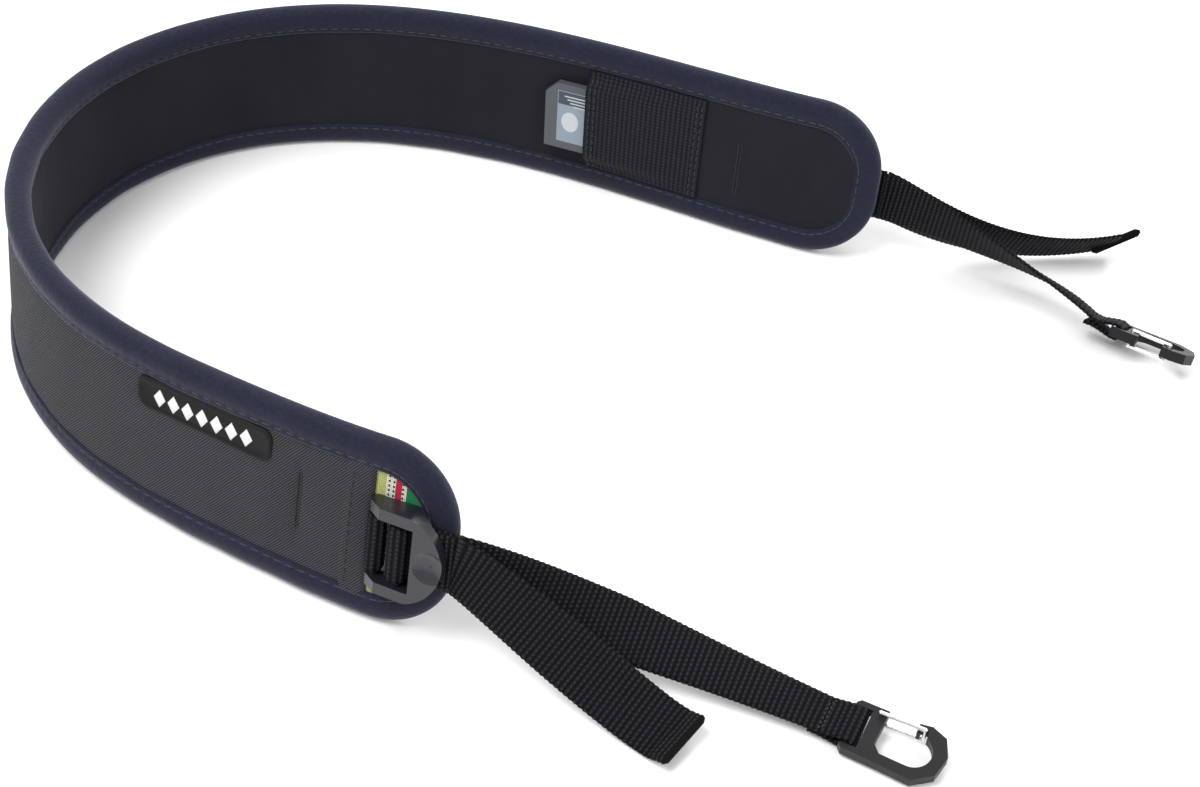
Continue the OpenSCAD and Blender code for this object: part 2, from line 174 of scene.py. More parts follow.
def buckle_frame(end):
    """Origin and axes of a buckle: a out past the pad's end, b across it, c off its outer face."""
    s = PAD_LEN - BUCKLE_INSET if end == "near" else BUCKLE_INSET
    side = 1 if end == "near" else -1
    along, up, inward, _ = directions(s)
    return on_pad(s, BUCKLE_V[end], -PAD_T / 2 - BUCKLE_LIFT), side * along, side * up, -inward


def heading(degrees):
    return np.array([math.cos(math.radians(degrees)), math.sin(math.radians(degrees)), 0.0])


def unit(v):
    v = np.asarray(v, float)
    return v / np.linalg.norm(v, axis=-1, keepdims=True)


def width_dir(d, roll):
    """Width direction of a ribbon along d, turned by roll from upright towards its left side."""
    side = unit(np.cross([0, 0, 1], d))
    rise = np.cross(d, side)
    return math.cos(math.radians(roll)) * rise + math.sin(math.radians(roll)) * side


def clip_frame(end):
    x = heading(CLIP_HEADING[end])
    y = width_dir(x, CLIP_ROLL[end])
    return np.array(CLIP_AT[end]), x, y, np.cross(x, y)


def card_frame():
    along, up, inward, _ = directions(CARD_S)
    tilt = math.radians(CARD_TILT)
    a = math.cos(tilt) * along + math.sin(tilt) * inward
    return on_pad(CARD_S, PAD_H / 2, CARD_C), a, -up, np.cross(a, -up)


# ---- Meshes ----

def skin(name, rings, uv, closed=False):
    """A smooth mesh of rings of points in millimetres, with a UV map that is also in millimetres."""
    rings, uv = np.asarray(rings, float), np.asarray(uv, float)
    n, m = rings.shape[:2]
    faces = []
    for i in range(n if closed else n - 1):
        for j in range(m):
            a, b = i * m + j, i * m + (j + 1) % m
            c, d = ((i + 1) % n) * m + (j + 1) % m, ((i + 1) % n) * m + j
            faces.append((a, b, c, d))
    if not closed:
        faces.append(tuple(range(m - 1, -1, -1)))
        faces.append(tuple((n - 1) * m + j for j in range(m)))
    return mesh_object(name, rings.reshape(-1, 3), faces, uv.reshape(-1, 2))


def mesh_object(name, points, faces, uv=None):
    mesh = bpy.data.meshes.new(name)
    mesh.from_pydata([tuple(p) for p in np.asarray(points) * MM], [], faces)
    if uv is not None:
        layer = mesh.uv_layers.new(name="mm")
        index = np.empty(len(mesh.loops), dtype=np.int32)
        mesh.loops.foreach_get("vertex_index", index)
        layer.data.foreach_set("uv", np.asarray(uv, float)[index].ravel())
    mesh.validate()
    mesh.polygons.foreach_set("use_smooth", [True] * len(mesh.polygons))
    mesh.update()
    obj = bpy.data.objects.new(name, mesh)
    bpy.context.collection.objects.link(obj)
    return obj


def fix_normals(obj):
    """Turns every face outwards."""
    bm = bmesh.new()
    bm.from_mesh(obj.data)
    bmesh.ops.recalc_face_normals(bm, faces=bm.faces)
    bm.to_mesh(obj.data)
    bm.free()
    return obj


def ripple(s, v, seed):
    """Slow, uneven waves between -1 and 1, the same on every run."""
    rng = np.random.default_rng(seed)
    total = 0
    for _ in range(5):
        length = rng.uniform(14, 60)
        angle = rng.uniform(-0.5, 0.5)
        distance = s * math.cos(angle) + v * math.sin(angle)
        total = total + np.sin(distance * 2 * math.pi / length + rng.uniform(0, 6))
    return total / 5


def panel(name, s, inset_of, front, back, rows=26):
    """A closed shell over the stretch s: front and back give its offset t from s and v."""
    s = np.asarray(s, float)
    low = inset_of(s)
    f = (1 - np.cos(np.linspace(0, math.pi, rows))) / 2
    v = low[:, None] + (PAD_H - 2 * low)[:, None] * f[None, :]
    ss = np.repeat(s[:, None], rows, 1)
    face, rear = on_pad(ss, v, front(ss, v)), on_pad(ss, v, back(ss, v))[:, ::-1]
    uv = np.concatenate([np.stack([ss, v], -1), np.stack([ss, v[:, ::-1]], -1)], 1)
    return fix_normals(skin(name, np.concatenate([face, rear], 1), uv))


def end_places(inset):
    return END_R - (END_R - inset) * np.cos(np.radians(np.arange(0, 90, 5)))


def places(inset, s1=0.0, s2=PAD_LEN, step=1.5):
    """Stations from s1 to s2, with the rounded ends followed closely."""
    run = np.arange(END_R, PAD_LEN - END_R + step / 2, step)
    every = np.concatenate([end_places(inset), run, PAD_LEN - end_places(inset)[::-1]])
    inner = every[(every > s1 + 0.2) & (every < s2 - 0.2)]
    first = [s1] if s1 > inset else []
    last = [s2] if s2 < PAD_LEN - inset else []
    return np.concatenate([first, inner, last])


# ---- Webbing ----

def bezier(p, u):
    p = [np.asarray(q, float) for q in p]
    u = np.asarray(u, float)[:, None]
    return (1 - u) ** 3 * p[0] + 3 * u * (1 - u) ** 2 * p[1] + 3 * u * u * (1 - u) * p[2] + u ** 3 * p[3]


def rounded(points, radius, corner_steps=6):
    """A polyline in the plane with its corners rounded."""
    points = [np.asarray(p, float) for p in points]
    out = [points[0]]
    for a, b, c in zip(points, points[1:], points[2:]):
        cut = min(radius, np.linalg.norm(b - a) * 0.49, np.linalg.norm(c - b) * 0.49)
        p, q = b + unit(a - b) * cut, b + unit(c - b) * cut
        for k in range(corner_steps + 1):
            u = k / corner_steps
            out.append((1 - u) ** 2 * p + 2 * u * (1 - u) * b + u * u * q)
    return np.array(out + [points[-1]])


def webbing(name, centre, across, widths, cup=None, thick=WEB_T):
    """Ribbed webbing on a centre line, with a width direction, a width and a cupping at each point."""
    centre = np.asarray(centre, float)
    step = np.linalg.norm(np.diff(centre, axis=0), axis=1)
    length = np.concatenate([[0], np.cumsum(step)])
    n = max(4, int(length[-1] / RIB_PITCH * 6))
    u = np.linspace(0, length[-1], n)
    cup = np.zeros(len(centre)) if cup is None else np.asarray(cup, float)

    def resample(values):
        values = np.asarray(values, float)
        return np.stack([np.interp(u, length, values[:, k]) for k in range(values.shape[1])], -1)

    p, w = resample(centre), unit(resample(across))
    d = unit(np.gradient(p, axis=0))
    w = unit(w - (w * d).sum(-1, keepdims=True) * d)
    f = np.cross(d, w)
    half = np.interp(u, length, np.asarray(widths, float)) / 2
    bend = np.interp(u, length, cup)
    rib = np.sin(u * 2 * math.pi / RIB_PITCH)
    across_at = np.array([-1, -0.86, -0.6, -0.3, 0, 0.3, 0.6, 0.86, 1])
    ring, uv = [], []
    for side in (1, -1):
        for x in across_at[::side]:
            inset = 0.34 if abs(x) == 1 else 1.0
            off = side * (thick / 2 - 0.09 + 0.09 * rib) * inset
            lift = bend * (1 - x * x)
            wide = half * x + np.sign(x) * (0.1 * rib * (abs(x) == 1))
            ring.append(p + wide[:, None] * w + (off + lift)[:, None] * f)
            uv.append(np.stack([u, half * x + (0 if side > 0 else 40)], -1))
    return fix_normals(skin(name, np.stack(ring, 1), np.stack(uv, 1)))


def exit_point(end, c):
    origin, a, _, out = buckle_frame(end)
    return origin + EXIT_A * a + c * out


def strap_route(end):
    """Centre line, width directions, widths and cupping of a load strap, with its sewn loop."""
    origin, x, y, z = clip_frame(end)
    up_side = LOOP_SIDE[end]
    _, a, _, _ = buckle_frame(end)
    start = exit_point(end, RUN_C)
    back = origin - LOOP_CLOSES * x + up_side * (WEB_T / 2 + 0.02) * z
    u = np.linspace(0, 1, 60)
    first_length, last_length, raised = STRAP_HANDLES[end]
    run = bezier([start, start + first_length * a, back - last_length * x + [0, 0, raised], back], u)
    first, last = (LEAN_NEAR, CLIP_ROLL[end]) if end == "near" else (-LEAN_FAR, CLIP_ROLL[end])
    d = unit(np.gradient(run, axis=0))
    rolls = first + (last - first) * u * u * (3 - 2 * u)
    across = [width_dir(di, r) for di, r in zip(d, rolls)]
    widths = WEB_W + (LOOP_W - WEB_W) * np.clip((u - 0.6) / 0.4, 0, 1)
    mid = SLOT_BAR_R + BAR_GAP + WEB_T / 2
    loop = [(-LOOP_CLOSES, 0.67), (-4.2, 1.25), (-1.2, mid - 0.05)]
    loop += [(mid * math.cos(t), mid * math.sin(t)) for t in np.radians(np.arange(80, -81, -16))]
    loop += [(-1.2, 0.05 - mid), (-4.2, -1.25), (-LOOP_CLOSES, -0.67), (-8.6, -0.7), (-9.8, -0.8)]
    loop = rounded(loop, 1.5, 3)
    local = np.array([origin + q[0] * x + up_side * q[1] * z for q in loop])
    centre = np.concatenate([run[:-1], local])
    across = np.concatenate([across[:-1], np.repeat(y[None], len(local), 0)])
    widths = np.concatenate([widths[:-1], np.full(len(local), LOOP_W)])
    cup = np.concatenate([0.8 * np.clip((u[:-1] - 0.5) / 0.3, 0, 1) * np.clip((1 - u[:-1]) / 0.12, 0, 1),
                          np.zeros(len(local))]) * up_side
    return centre, across, widths, cup


def tail_route(end):
    _, a, _, out = buckle_frame(end)
    start = exit_point(end, TAIL_C)
    turn = math.radians(TAIL_OUT[end])
    go = math.cos(turn) * a + math.sin(turn) * out
    stop = np.array(TAIL_END[end])
    u = np.linspace(0, 1, 60)
    first_length, last_length, raised = TAIL_HANDLES[end]
    last_handle = stop - last_length * heading(TAIL_HEADING[end]) + [0, 0, raised]
    run = bezier([start, start + first_length * go, last_handle, stop], u)
    first = LEAN_NEAR if end == "near" else -LEAN_FAR
    d = unit(np.gradient(run, axis=0))
    rolls = first + (TAIL_ROLL[end] - first) * u * u * (3 - 2 * u)
    return run, [width_dir(di, r) for di, r in zip(d, rolls)], np.full(60, WEB_W), None


def in_buckle(end, profile):
    """Points of a profile in (a, c), and the width direction, in the part's frame."""
    origin, a, b, c = buckle_frame(end)
    return np.array([origin + q[0] * a + q[1] * c for q in profile]), b


# ---- Stitches ----

def stitches(name, points, normals, length, width=0.55, height=0.32):
    """A row of short raised threads, each centred on a point and lying along the row."""
    points, normals = np.asarray(points, float), np.asarray(normals, float)
    along = unit(np.gradient(points, axis=0))
    verts, faces = [], []
    for p, n, d in zip(points, normals, along):
        side = np.cross(n, d)
        first = len(verts)
        for x, grow in ((-0.5, 0.25), (-0.36, 0.85), (0, 1.0), (0.36, 0.85), (0.5, 0.25)):
            for t in np.radians(np.arange(0, 360, 60)):
                lift = (math.sin(t) * height * grow) - 0.12 * (abs(x) == 0.5)
                verts.append(p + x * length * d + math.cos(t) * width / 2 * grow * side + lift * n)
        for i in range(4):
            for j in range(6):
                k = (j + 1) % 6
                ring = first + i * 6
                faces.append((ring + j, ring + k, ring + 6 + k, ring + 6 + j))
        faces.append(tuple(first + j for j in range(5, -1, -1)))
        faces.append(tuple(first + 24 + j for j in range(6)))
    return mesh_object(name, verts, faces, np.zeros((len(verts), 2)))


# ---- Materials ----

class Graph:
    """A material's nodes, with short ways to add the ones used here."""

    def __init__(self, name, roughness=0.8, metallic=0.0, specular=0.5):
        self.material = bpy.data.materials.new(name)
        self.material.use_nodes = True
        self.tree = self.material.node_tree
        self.shader = self.tree.nodes["Principled BSDF"]
        self.shader.inputs["Roughness"].default_value = roughness
        self.shader.inputs["Metallic"].default_value = metallic
        self.shader.inputs["Specular IOR Level"].default_value = specular

    def node(self, kind, **inputs):
        node = self.tree.nodes.new(kind)
        for key, value in inputs.items():
            self.feed(node.inputs[key], value)
        return node

    def feed(self, socket, value):
        if isinstance(value, bpy.types.NodeSocket):
            self.tree.links.new(value, socket)
        else:
            socket.default_value = value

    def math(self, operation, a, b=0.0, c=0.0):
        node = self.tree.nodes.new("ShaderNodeMath")
        node.operation = operation
        for socket, value in zip(node.inputs, (a, b, c)):
            self.feed(socket, value)
        return node.outputs[0]

    def uv(self):
        """The UV map's two directions, in millimetres."""
        split = self.node("ShaderNodeSeparateXYZ", Vector=self.node("ShaderNodeUVMap").outputs[0])
        return split.outputs[0], split.outputs[1]

    def sine(self, value, pitch, phase=0.0):
        """A wave from 0 to 1 with this pitch in millimetres."""
        wave = self.math("SINE", self.math("MULTIPLY_ADD", value, 2 * math.pi / pitch, phase))
        return self.math("MULTIPLY_ADD", wave, 0.5, 0.5)

    def noise(self, scale, detail=3.0, uv=False, stretch=(1, 1, 1)):
        """Noise with this scale per metre, or per millimetre on the UV map."""
        if uv:
            source = self.node("ShaderNodeUVMap").outputs[0]
        else:
            source = self.node("ShaderNodeTexCoord").outputs["Object"]
        place = self.node("ShaderNodeMapping", Vector=source, Scale=stretch)
        texture = self.node("ShaderNodeTexNoise", Vector=place.outputs[0], Scale=scale, Detail=detail)
        return texture.outputs[0]

    def mix(self, factor, a, b):
        node = self.tree.nodes.new("ShaderNodeMix")
        node.data_type = "RGBA"
        self.feed(node.inputs[0], factor)
        self.feed(node.inputs[6], a if isinstance(a, bpy.types.NodeSocket) else (*a, 1))
        self.feed(node.inputs[7], b if isinstance(b, bpy.types.NodeSocket) else (*b, 1))
        return node.outputs[2]

    def colour(self, value):
        self.feed(self.shader.inputs["Base Color"], value)

    def bump(self, height, distance, strength=1.0, below=None):
        node = self.node("ShaderNodeBump", Height=height, Distance=distance, Strength=strength)
        if below is not None:
            self.feed(node.inputs["Normal"], below)
        return node.outputs[0]

    def normal(self, value):
        self.feed(self.shader.inputs["Normal"], value)

    def sheen(self, weight, roughness=0.5, tint=(1, 1, 1)):
        self.shader.inputs["Sheen Weight"].default_value = weight
        self.shader.inputs["Sheen Roughness"].default_value = roughness
        self.shader.inputs["Sheen Tint"].default_value = (*tint, 1)


def twill():
    g = Graph("twill", 0.82, specular=0.2)
    u, v = g.uv()
    twist = g.math("ADD", u, g.math("MULTIPLY", g.noise(0.35, 2, uv=True), 0.5))
    rib = g.sine(g.math("MULTIPLY_ADD", v, -0.9, twist), 0.85)
    yarn = g.sine(g.math("MULTIPLY_ADD", v, 0.6, u), 0.62)
    weave = g.math("MULTIPLY", rib, g.math("MULTIPLY_ADD", yarn, 0.45, 0.55))
    patch = g.noise(0.05, 4, uv=True)
    tone = g.mix(weave, (0.004, 0.004, 0.006), (0.104, 0.104, 0.122))
    g.colour(g.mix(g.math("MULTIPLY", patch, 0.35), tone, (0.022, 0.022, 0.027)))
    g.normal(g.bump(weave, 0.00045, 0.9, g.bump(g.noise(0.3, 3, uv=True), 0.0004, 0.4)))
    g.sheen(0.04)
    return g.material


def lining():
    g = Graph("lining", 0.8, specular=0.14)
    fine = g.noise(2.2, 3, uv=True)
    cloud = g.noise(0.03, 4, uv=True, stretch=(1, 0.5, 1))
    g.colour(g.mix(cloud, (0.006, 0.006, 0.009), (0.016, 0.016, 0.022)))
    wrinkle = g.bump(g.noise(0.12, 2, uv=True, stretch=(1, 0.3, 1)), 0.0008, 0.35)
    g.normal(g.bump(fine, 0.00012, 0.5, wrinkle))
    g.sheen(0.03, 0.4, (0.8, 0.85, 1))
    return g.material


def suede():
    g = Graph("suede", 0.9, specular=0.2)
    nap = g.noise(900, 5)
    cloud = g.noise(60, 4)
    tone = g.mix(nap, (0.004, 0.005, 0.012), (0.021, 0.022, 0.046))
    g.colour(g.mix(g.math("MULTIPLY", cloud, 0.55), tone, (0.006, 0.0065, 0.016)))
    g.normal(g.bump(nap, 0.0003, 0.6, g.bump(cloud, 0.0008, 0.4)))
    g.sheen(0.2, 0.45, (0.85, 0.85, 1))
    return g.material


def webbing_cloth():
    g = Graph("webbing", 0.72, specular=0.1)
    u, v = g.uv()
    row = g.math("FLOOR", g.math("DIVIDE", u, RIB_PITCH))
    rib = g.sine(u, RIB_PITCH)
    shift = g.math("MULTIPLY", g.math("MODULO", row, 2.0), math.pi)
    strand = g.math("MULTIPLY_ADD", v, 2 * math.pi / 1.25, shift)
    dash = g.math("MULTIPLY_ADD", g.math("SINE", strand), 0.5, 0.5)
    weave = g.math("MULTIPLY", rib, g.math("MULTIPLY_ADD", dash, 0.7, 0.3))
    g.colour(g.mix(weave, (0.0008, 0.0008, 0.0012), (0.027, 0.027, 0.036)))
    g.normal(g.bump(weave, 0.0005, 1.0, g.bump(g.noise(3.0, 2, uv=True), 0.0002, 0.4)))
    return g.material


def elastic_cloth():
    g = Graph("elastic", 0.75, specular=0.16)
    u, v = g.uv()
    rib = g.sine(u, 1.55)
    dash = g.sine(v, 1.1)
    weave = g.math("MULTIPLY", g.math("POWER", rib, 0.6), g.math("MULTIPLY_ADD", dash, 0.6, 0.4))
    g.colour(g.mix(weave, (0.001, 0.001, 0.002), (0.021, 0.021, 0.031)))
    g.normal(g.bump(weave, 0.00035, 0.9, g.bump(g.noise(0.4, 2, uv=True), 0.0003, 0.4)))
    g.sheen(0.02)
    return g.material


def thread_cloth(name, dark, light):
    g = Graph(name, 0.6, specular=0.4)
    twist = g.noise(1600, 2)
    g.colour(g.mix(twist, dark, light))
    g.normal(g.bump(twist, 0.0002, 0.5))
    return g.material


def pattern_cloth():
    """Printed bands across the pad, counted from its end: green, dotted, red, dotted, yellow-green."""
    g = Graph("pattern_cloth", 0.8, specular=0.2)
    u, v = g.uv()
    middle = g.math("ABSOLUTE", g.math("SUBTRACT", u, PAD_LEN / 2))
    from_end = g.math("SUBTRACT", PAD_LEN / 2, middle)
    yarn = g.math("MULTIPLY", g.sine(u, 0.55), g.sine(v, 0.55))
    dots = g.math("GREATER_THAN", g.math("MULTIPLY", g.sine(u, 1.3), g.sine(v, 1.3)), 0.5)
    pale = g.mix(dots, (0.70, 0.68, 0.60), (0.02, 0.02, 0.02))
    tone = (0.01, 0.22, 0.07)
    for start, band in ((14.5, pale), (15.8, (0.48, 0.02, 0.06)), (17.6, pale), (20.2, (0.42, 0.45, 0.16))):
        tone = g.mix(g.math("GREATER_THAN", from_end, start), tone, band)
    g.colour(g.mix(g.math("MULTIPLY", yarn, 0.4), tone, (0.02, 0.02, 0.02)))
    g.normal(g.bump(yarn, 0.0002, 0.8))
    return g.material


def moulded(name, low, high, roughness, grain=2500, coat=0.0, specular=0.5):
    g = Graph(name, roughness, specular=specular)
    speck = g.noise(grain, 3)
    g.colour(g.mix(speck, low, high))
    wear = g.noise(180, 4)
    g.feed(g.shader.inputs["Roughness"], g.math("MULTIPLY_ADD", wear, 0.18, roughness - 0.09))
    g.normal(g.bump(speck, 0.00006, 0.5))
    g.shader.inputs["Coat Weight"].default_value = coat
    return g.material


def wire_metal():
    g = Graph("wire_metal", 0.2, metallic=1.0)
    drawn = g.noise(2200, 2, stretch=(1, 1, 0.2))
    g.colour(g.mix(drawn, (0.62, 0.62, 0.64), (0.86, 0.86, 0.88)))
    g.feed(g.shader.inputs["Roughness"], g.math("MULTIPLY_ADD", drawn, 0.14, 0.12))
    return g.material


def paint(obj, material):
    obj.data.materials.clear()
    obj.data.materials.append(material)
    return obj


# ---- The pad ----

def smooth(x):
    x = np.clip(x, 0, 1)
    return x * x * (3 - 2 * x)


def dent(s, v):
    """Depth of the pull of each bartack, which is a short upright slit in both faces."""
    depth = 0
    for end in ENDS:
        at = PAD_LEN - BARTACK_INSET if end == "near" else BARTACK_INSET
        rise = v - BUCKLE_V[end]
        reach = smooth((DIP_HALF + rise) / 6) * smooth((DIP_HALF - rise) / 6)
        slit = 0.8 * np.exp(-((s - at) / 1.1) ** 2)
        pull = 0.9 * np.exp(-((s - at) / 5.0) ** 2)
        depth = depth + (slit + pull) * reach
    return depth


def crown(v, height):
    """A soft swell across the face, flat where the binding holds it down."""
    x = np.clip((v - PAD_H / 2) / (PAD_H / 2 - BIND_W), -1, 1)
    return height * (1 - x ** 4)


def tuck(s, v):
    """How far the panels are pressed down under the binding."""
    from_edge = np.minimum(np.minimum(v, PAD_H - v), np.minimum(s, PAD_LEN - s))
    return 0.9 * smooth((6.5 - from_edge) / 3)


def outer_front(s, v):
    hem = np.minimum(smooth((s - PANEL_INSET) / 0.5) * smooth((PANEL_INSET + HEM_W - s) / 0.6), 1)
    far = PAD_LEN - PANEL_INSET
    hem = hem + smooth((far - s) / 0.5) * smooth((s - far + HEM_W) / 0.6)
    body = PANEL_OUT + 0.1 + crown(v, 0.45) + 0.16 * ripple(s, v, 3) + 0.6 * hem
    return -(body - dent(s, v) - tuck(s, v))


def inner_front(s, v):
    return PANEL_OUT + 0.05 + crown(v, 0.4) + 0.22 * ripple(s, v * 0.3, 5) - dent(s, v) - tuck(s, v)


def build_pad(mats):
    whole = places(EDGE_INSET)

    def inset(s):
        return edge_v(s, EDGE_INSET)

    twill_at = places(EDGE_INSET, PANEL_INSET, PAD_LEN - PANEL_INSET, 1.0)
    outer = panel("outer_twill", twill_at, inset, outer_front,
                  lambda s, v: np.maximum(outer_front(s, v) + 0.3, -PANEL_IN))
    inner = panel("inner_lining", whole, inset, inner_front,
                  lambda s, v: np.minimum(inner_front(s, v) - 0.3, PANEL_IN))
    core = panel("foam_core", whole, inset,
                 lambda s, v: np.maximum(outer_front(s, v) + 0.4, 0.55 - PANEL_IN),
                 lambda s, v: np.minimum(inner_front(s, v) - 0.4, PANEL_IN - 0.1))
    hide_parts("outer_panel")
    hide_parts("inner_panel")
    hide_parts("pad_core")
    for obj, slot in ((outer, "twill"), (inner, "lining"), (core, "foam")):
        paint(obj, mats[slot])
        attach(obj, "pad")
    for end in ENDS:
        s1, s2 = (0.0, TEXTILE_INSET + 3) if end == "far" else (PAD_LEN - TEXTILE_INSET - 3, PAD_LEN)
        tab = panel(end + "_pattern_tab", places(EDGE_INSET, s1, s2, 0.8), inset,
                    lambda s, v: -PANEL_OUT + 0.25 - crown(v, 0.25),
                    lambda s, v: np.full_like(s, 0.3 - PANEL_IN))
        paint(tab, mats["pattern_cloth"])
        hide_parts(end + "_textile_tab")
        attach(tab, "pad")


def outline():
    """Points of the pad's edge, in order, as s, v and the unit direction inwards."""
    rows = []

    def corner(s0, v0, first):
        for a in np.radians(np.arange(first, first + 90, 3.0)):
            rows.append((s0 + END_R * math.cos(a), v0 + END_R * math.sin(a), -math.cos(a), -math.sin(a)))

    run = np.arange(END_R, PAD_LEN - END_R, 1.2)
    rows += [(s, 0, 0, 1) for s in run]
    corner(PAD_LEN - END_R, END_R, -90)
    corner(PAD_LEN - END_R, PAD_H - END_R, 0)
    rows += [(PAD_LEN - s, PAD_H, 0, -1) for s in run]
    corner(END_R, PAD_H - END_R, 90)
    corner(END_R, END_R, 180)
    return np.array(rows)


def build_binding(mats):
    """The folded tape round the edge: puffy, puckered along its seam, and stitched to both faces."""
    line = outline()
    step = np.linalg.norm(np.diff(line[:, :2], axis=0, append=line[:1, :2]), axis=1)
    run = np.concatenate([[0], np.cumsum(step)[:-1]])
    half = PAD_T / 2
    profile = [(8.0, 2.5), (7.9, 3.0), (7.2, 3.25), (6.5, 3.12), (5.6, 3.4), (4.2, 3.62), (2.6, 3.5),
               (1.2, 2.85), (0.35, 1.75), (0.0, 0.6)]
    edge = [(d, -t) for d, t in profile] + [(d, t) for d, t in profile[::-1]]
    section = np.array(edge + [(7.6, 2.1), (1.3, 2.1), (1.3, -2.1), (7.6, -2.1)])
    rings, uvs = [], []
    girth = np.concatenate([[0], np.cumsum(np.linalg.norm(np.diff(section, axis=0), axis=1))])
    for k, (d, t) in enumerate(section):
        pucker = 0.11 * np.sin(run * 2 * math.pi / STITCH_PITCH) * (5.4 < d < 7.5)
        soft = 0.16 * ripple(run, d * 4.0, 11 if t < 0 else 12) * (abs(t) > 2.2)
        offset = np.sign(t) * np.minimum(abs(t) + pucker + soft, half + 0.5)
        rings.append(on_pad(line[:, 0] + d * line[:, 2], line[:, 1] + d * line[:, 3], offset))
        uvs.append(np.stack([run, np.full_like(run, girth[k])], -1))
    binding = fix_normals(skin("suede_binding", np.stack(rings, 1), np.stack(uvs, 1), closed=True))
    paint(binding, mats["suede"])
    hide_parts("edge_binding")
    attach(binding, "pad")
    count = int((run[-1] + step[-1]) / STITCH_PITCH)
    at = (np.arange(count) + 0.25) * (run[-1] + step[-1]) / count
    s, v = np.interp(at, run, line[:, 0]), np.interp(at, run, line[:, 1])
    ds, dv = np.interp(at, run, line[:, 2]), np.interp(at, run, line[:, 3])
    for face, side in (("outer", -1), ("inner", 1)):
        points = on_pad(s + SEAM_D * ds, v + SEAM_D * dv, side * SEAM_T)
        seam = stitches(face + "_binding_stitches", points, side * directions(s)[2], 2.6)
        paint(seam, mats["seam_thread"])
        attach(seam, "pad")


def row_on_face(name, s, v, t_of, side, length, mats):
    """Stitches along a row on one face of the pad."""
    t = t_of(s, v)
    row = stitches(name, on_pad(s, v, t), side * directions(s)[2], length)
    paint(row, mats["black_thread"])
    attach(row, "pad")


def build_sewing(mats):
    for end in ENDS:
        at = PAD_LEN - HEM_STITCH_INSET if end == "near" else HEM_STITCH_INSET
        v = np.arange(9.5, PAD_H - 9, 2.9)
        row_on_face(end + "_hem_stitches", np.full_like(v, at), v, outer_front, -1, 2.2, mats)
        at = PAD_LEN - BARTACK_INSET if end == "near" else BARTACK_INSET
        v = BUCKLE_V[end] + np.arange(-BARTACK_HALF, BARTACK_HALF + 0.5, 0.55)
        wobble = 0.55 * np.where(np.arange(len(v)) % 2, 1, -1)
        parts = []
        for face, side, t_of in (("outer", -1, outer_front), ("inner", 1, inner_front)):
            points = on_pad(at + wobble, v, t_of(at + wobble, v) + side * 0.12)
            normals = side * directions(np.full_like(v, at))[2]
            parts.append(stitches(end + "_bartack_" + face, points, normals, 1.2, 0.4, 0.25))
        for part in parts:
            paint(part, mats["black_thread"])
            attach(part, "pad")
        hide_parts(end + "_anchor_bartack")


def build_label(mats):
    """Moulded rubber label: a rounded plate with a raised rim and a row of plain raised lozenges."""
    s1, s2 = LABEL_S
    v1, v2 = LABEL_V
    radius, rows = 3.0, []
    for k in range(72):
        a = 2 * math.pi * (k + 0.5) / 72
        x, y = math.cos(a), math.sin(a)
        cx, cy = (s2 - s1) / 2 - radius, (v2 - v1) / 2 - radius
        rows.append((math.copysign(cx, x) + radius * x, math.copysign(cy, y) + radius * y))
    edge = np.array(rows)
    shrink = [(1.0, 0.0), (1.0, 0.75), (0.985, 1.1), (0.95, 1.1), (0.935, 0.85), (0.5, 0.85), (0.02, 0.85)]
    rings = []
    half = np.array([(s2 - s1) / 2, (v2 - v1) / 2])
    for scale, height in shrink:
        inset = (1 - scale) * half[0]
        point = edge * (1 - inset / half) if scale > 0.9 else edge * scale
        s, v = (s1 + s2) / 2 + point[:, 0], (v1 + v2) / 2 + point[:, 1]
        rings.append(on_pad(s, v, -PANEL_OUT - height))
    rings = np.array(rings)
    label = fix_normals(skin("label_plate", rings, np.zeros((*rings.shape[:2], 2))))
    marks_v, marks_f = [], []
    for place in range(-3, 4):
        s0, v0 = (s1 + s2) / 2 + place * 4.6, (v1 + v2) / 2
        first = len(marks_v)
        for grow, height in ((1.0, 0.8), (0.8, 1.12)):
            for ds, dv in ((-2.0, 0), (0, 2.7), (2.0, 0), (0, -2.7)):
                marks_v.append(on_pad(s0 + ds * grow, v0 + dv * grow, -PANEL_OUT - height))
        marks_f.append(tuple(first + 4 + j for j in range(4)))
        for j in range(4):
            k = (j + 1) % 4
            marks_f.append((first + j, first + k, first + 4 + k, first + 4 + j))
    marks = fix_normals(mesh_object("label_lozenges", marks_v, marks_f))
    for obj, mat in ((label, "soft_rubber"), (marks, "label_print")):
        paint(obj, mats[mat])
        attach(obj, "pad")
    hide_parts("rubber_label")


def pocket_top(s, v):
    """Height of the elastic pocket's outside over the pad's middle."""
    card = CARD_C + CARD_T / 2 + (s - CARD_S) * math.sin(math.radians(CARD_TILT)) + 1.05
    base = PANEL_OUT + 1.15
    over = smooth((v - 9) / 5.5) * smooth((PAD_H - 9 - v) / 5.5) * smooth((s - POCKET_S[0] - 2) / 16)
    return base + (card - base) * over + 0.08 * ripple(s * 2, v * 2, 8) + 0.12 * smooth((s - 94.5) / 0.6)


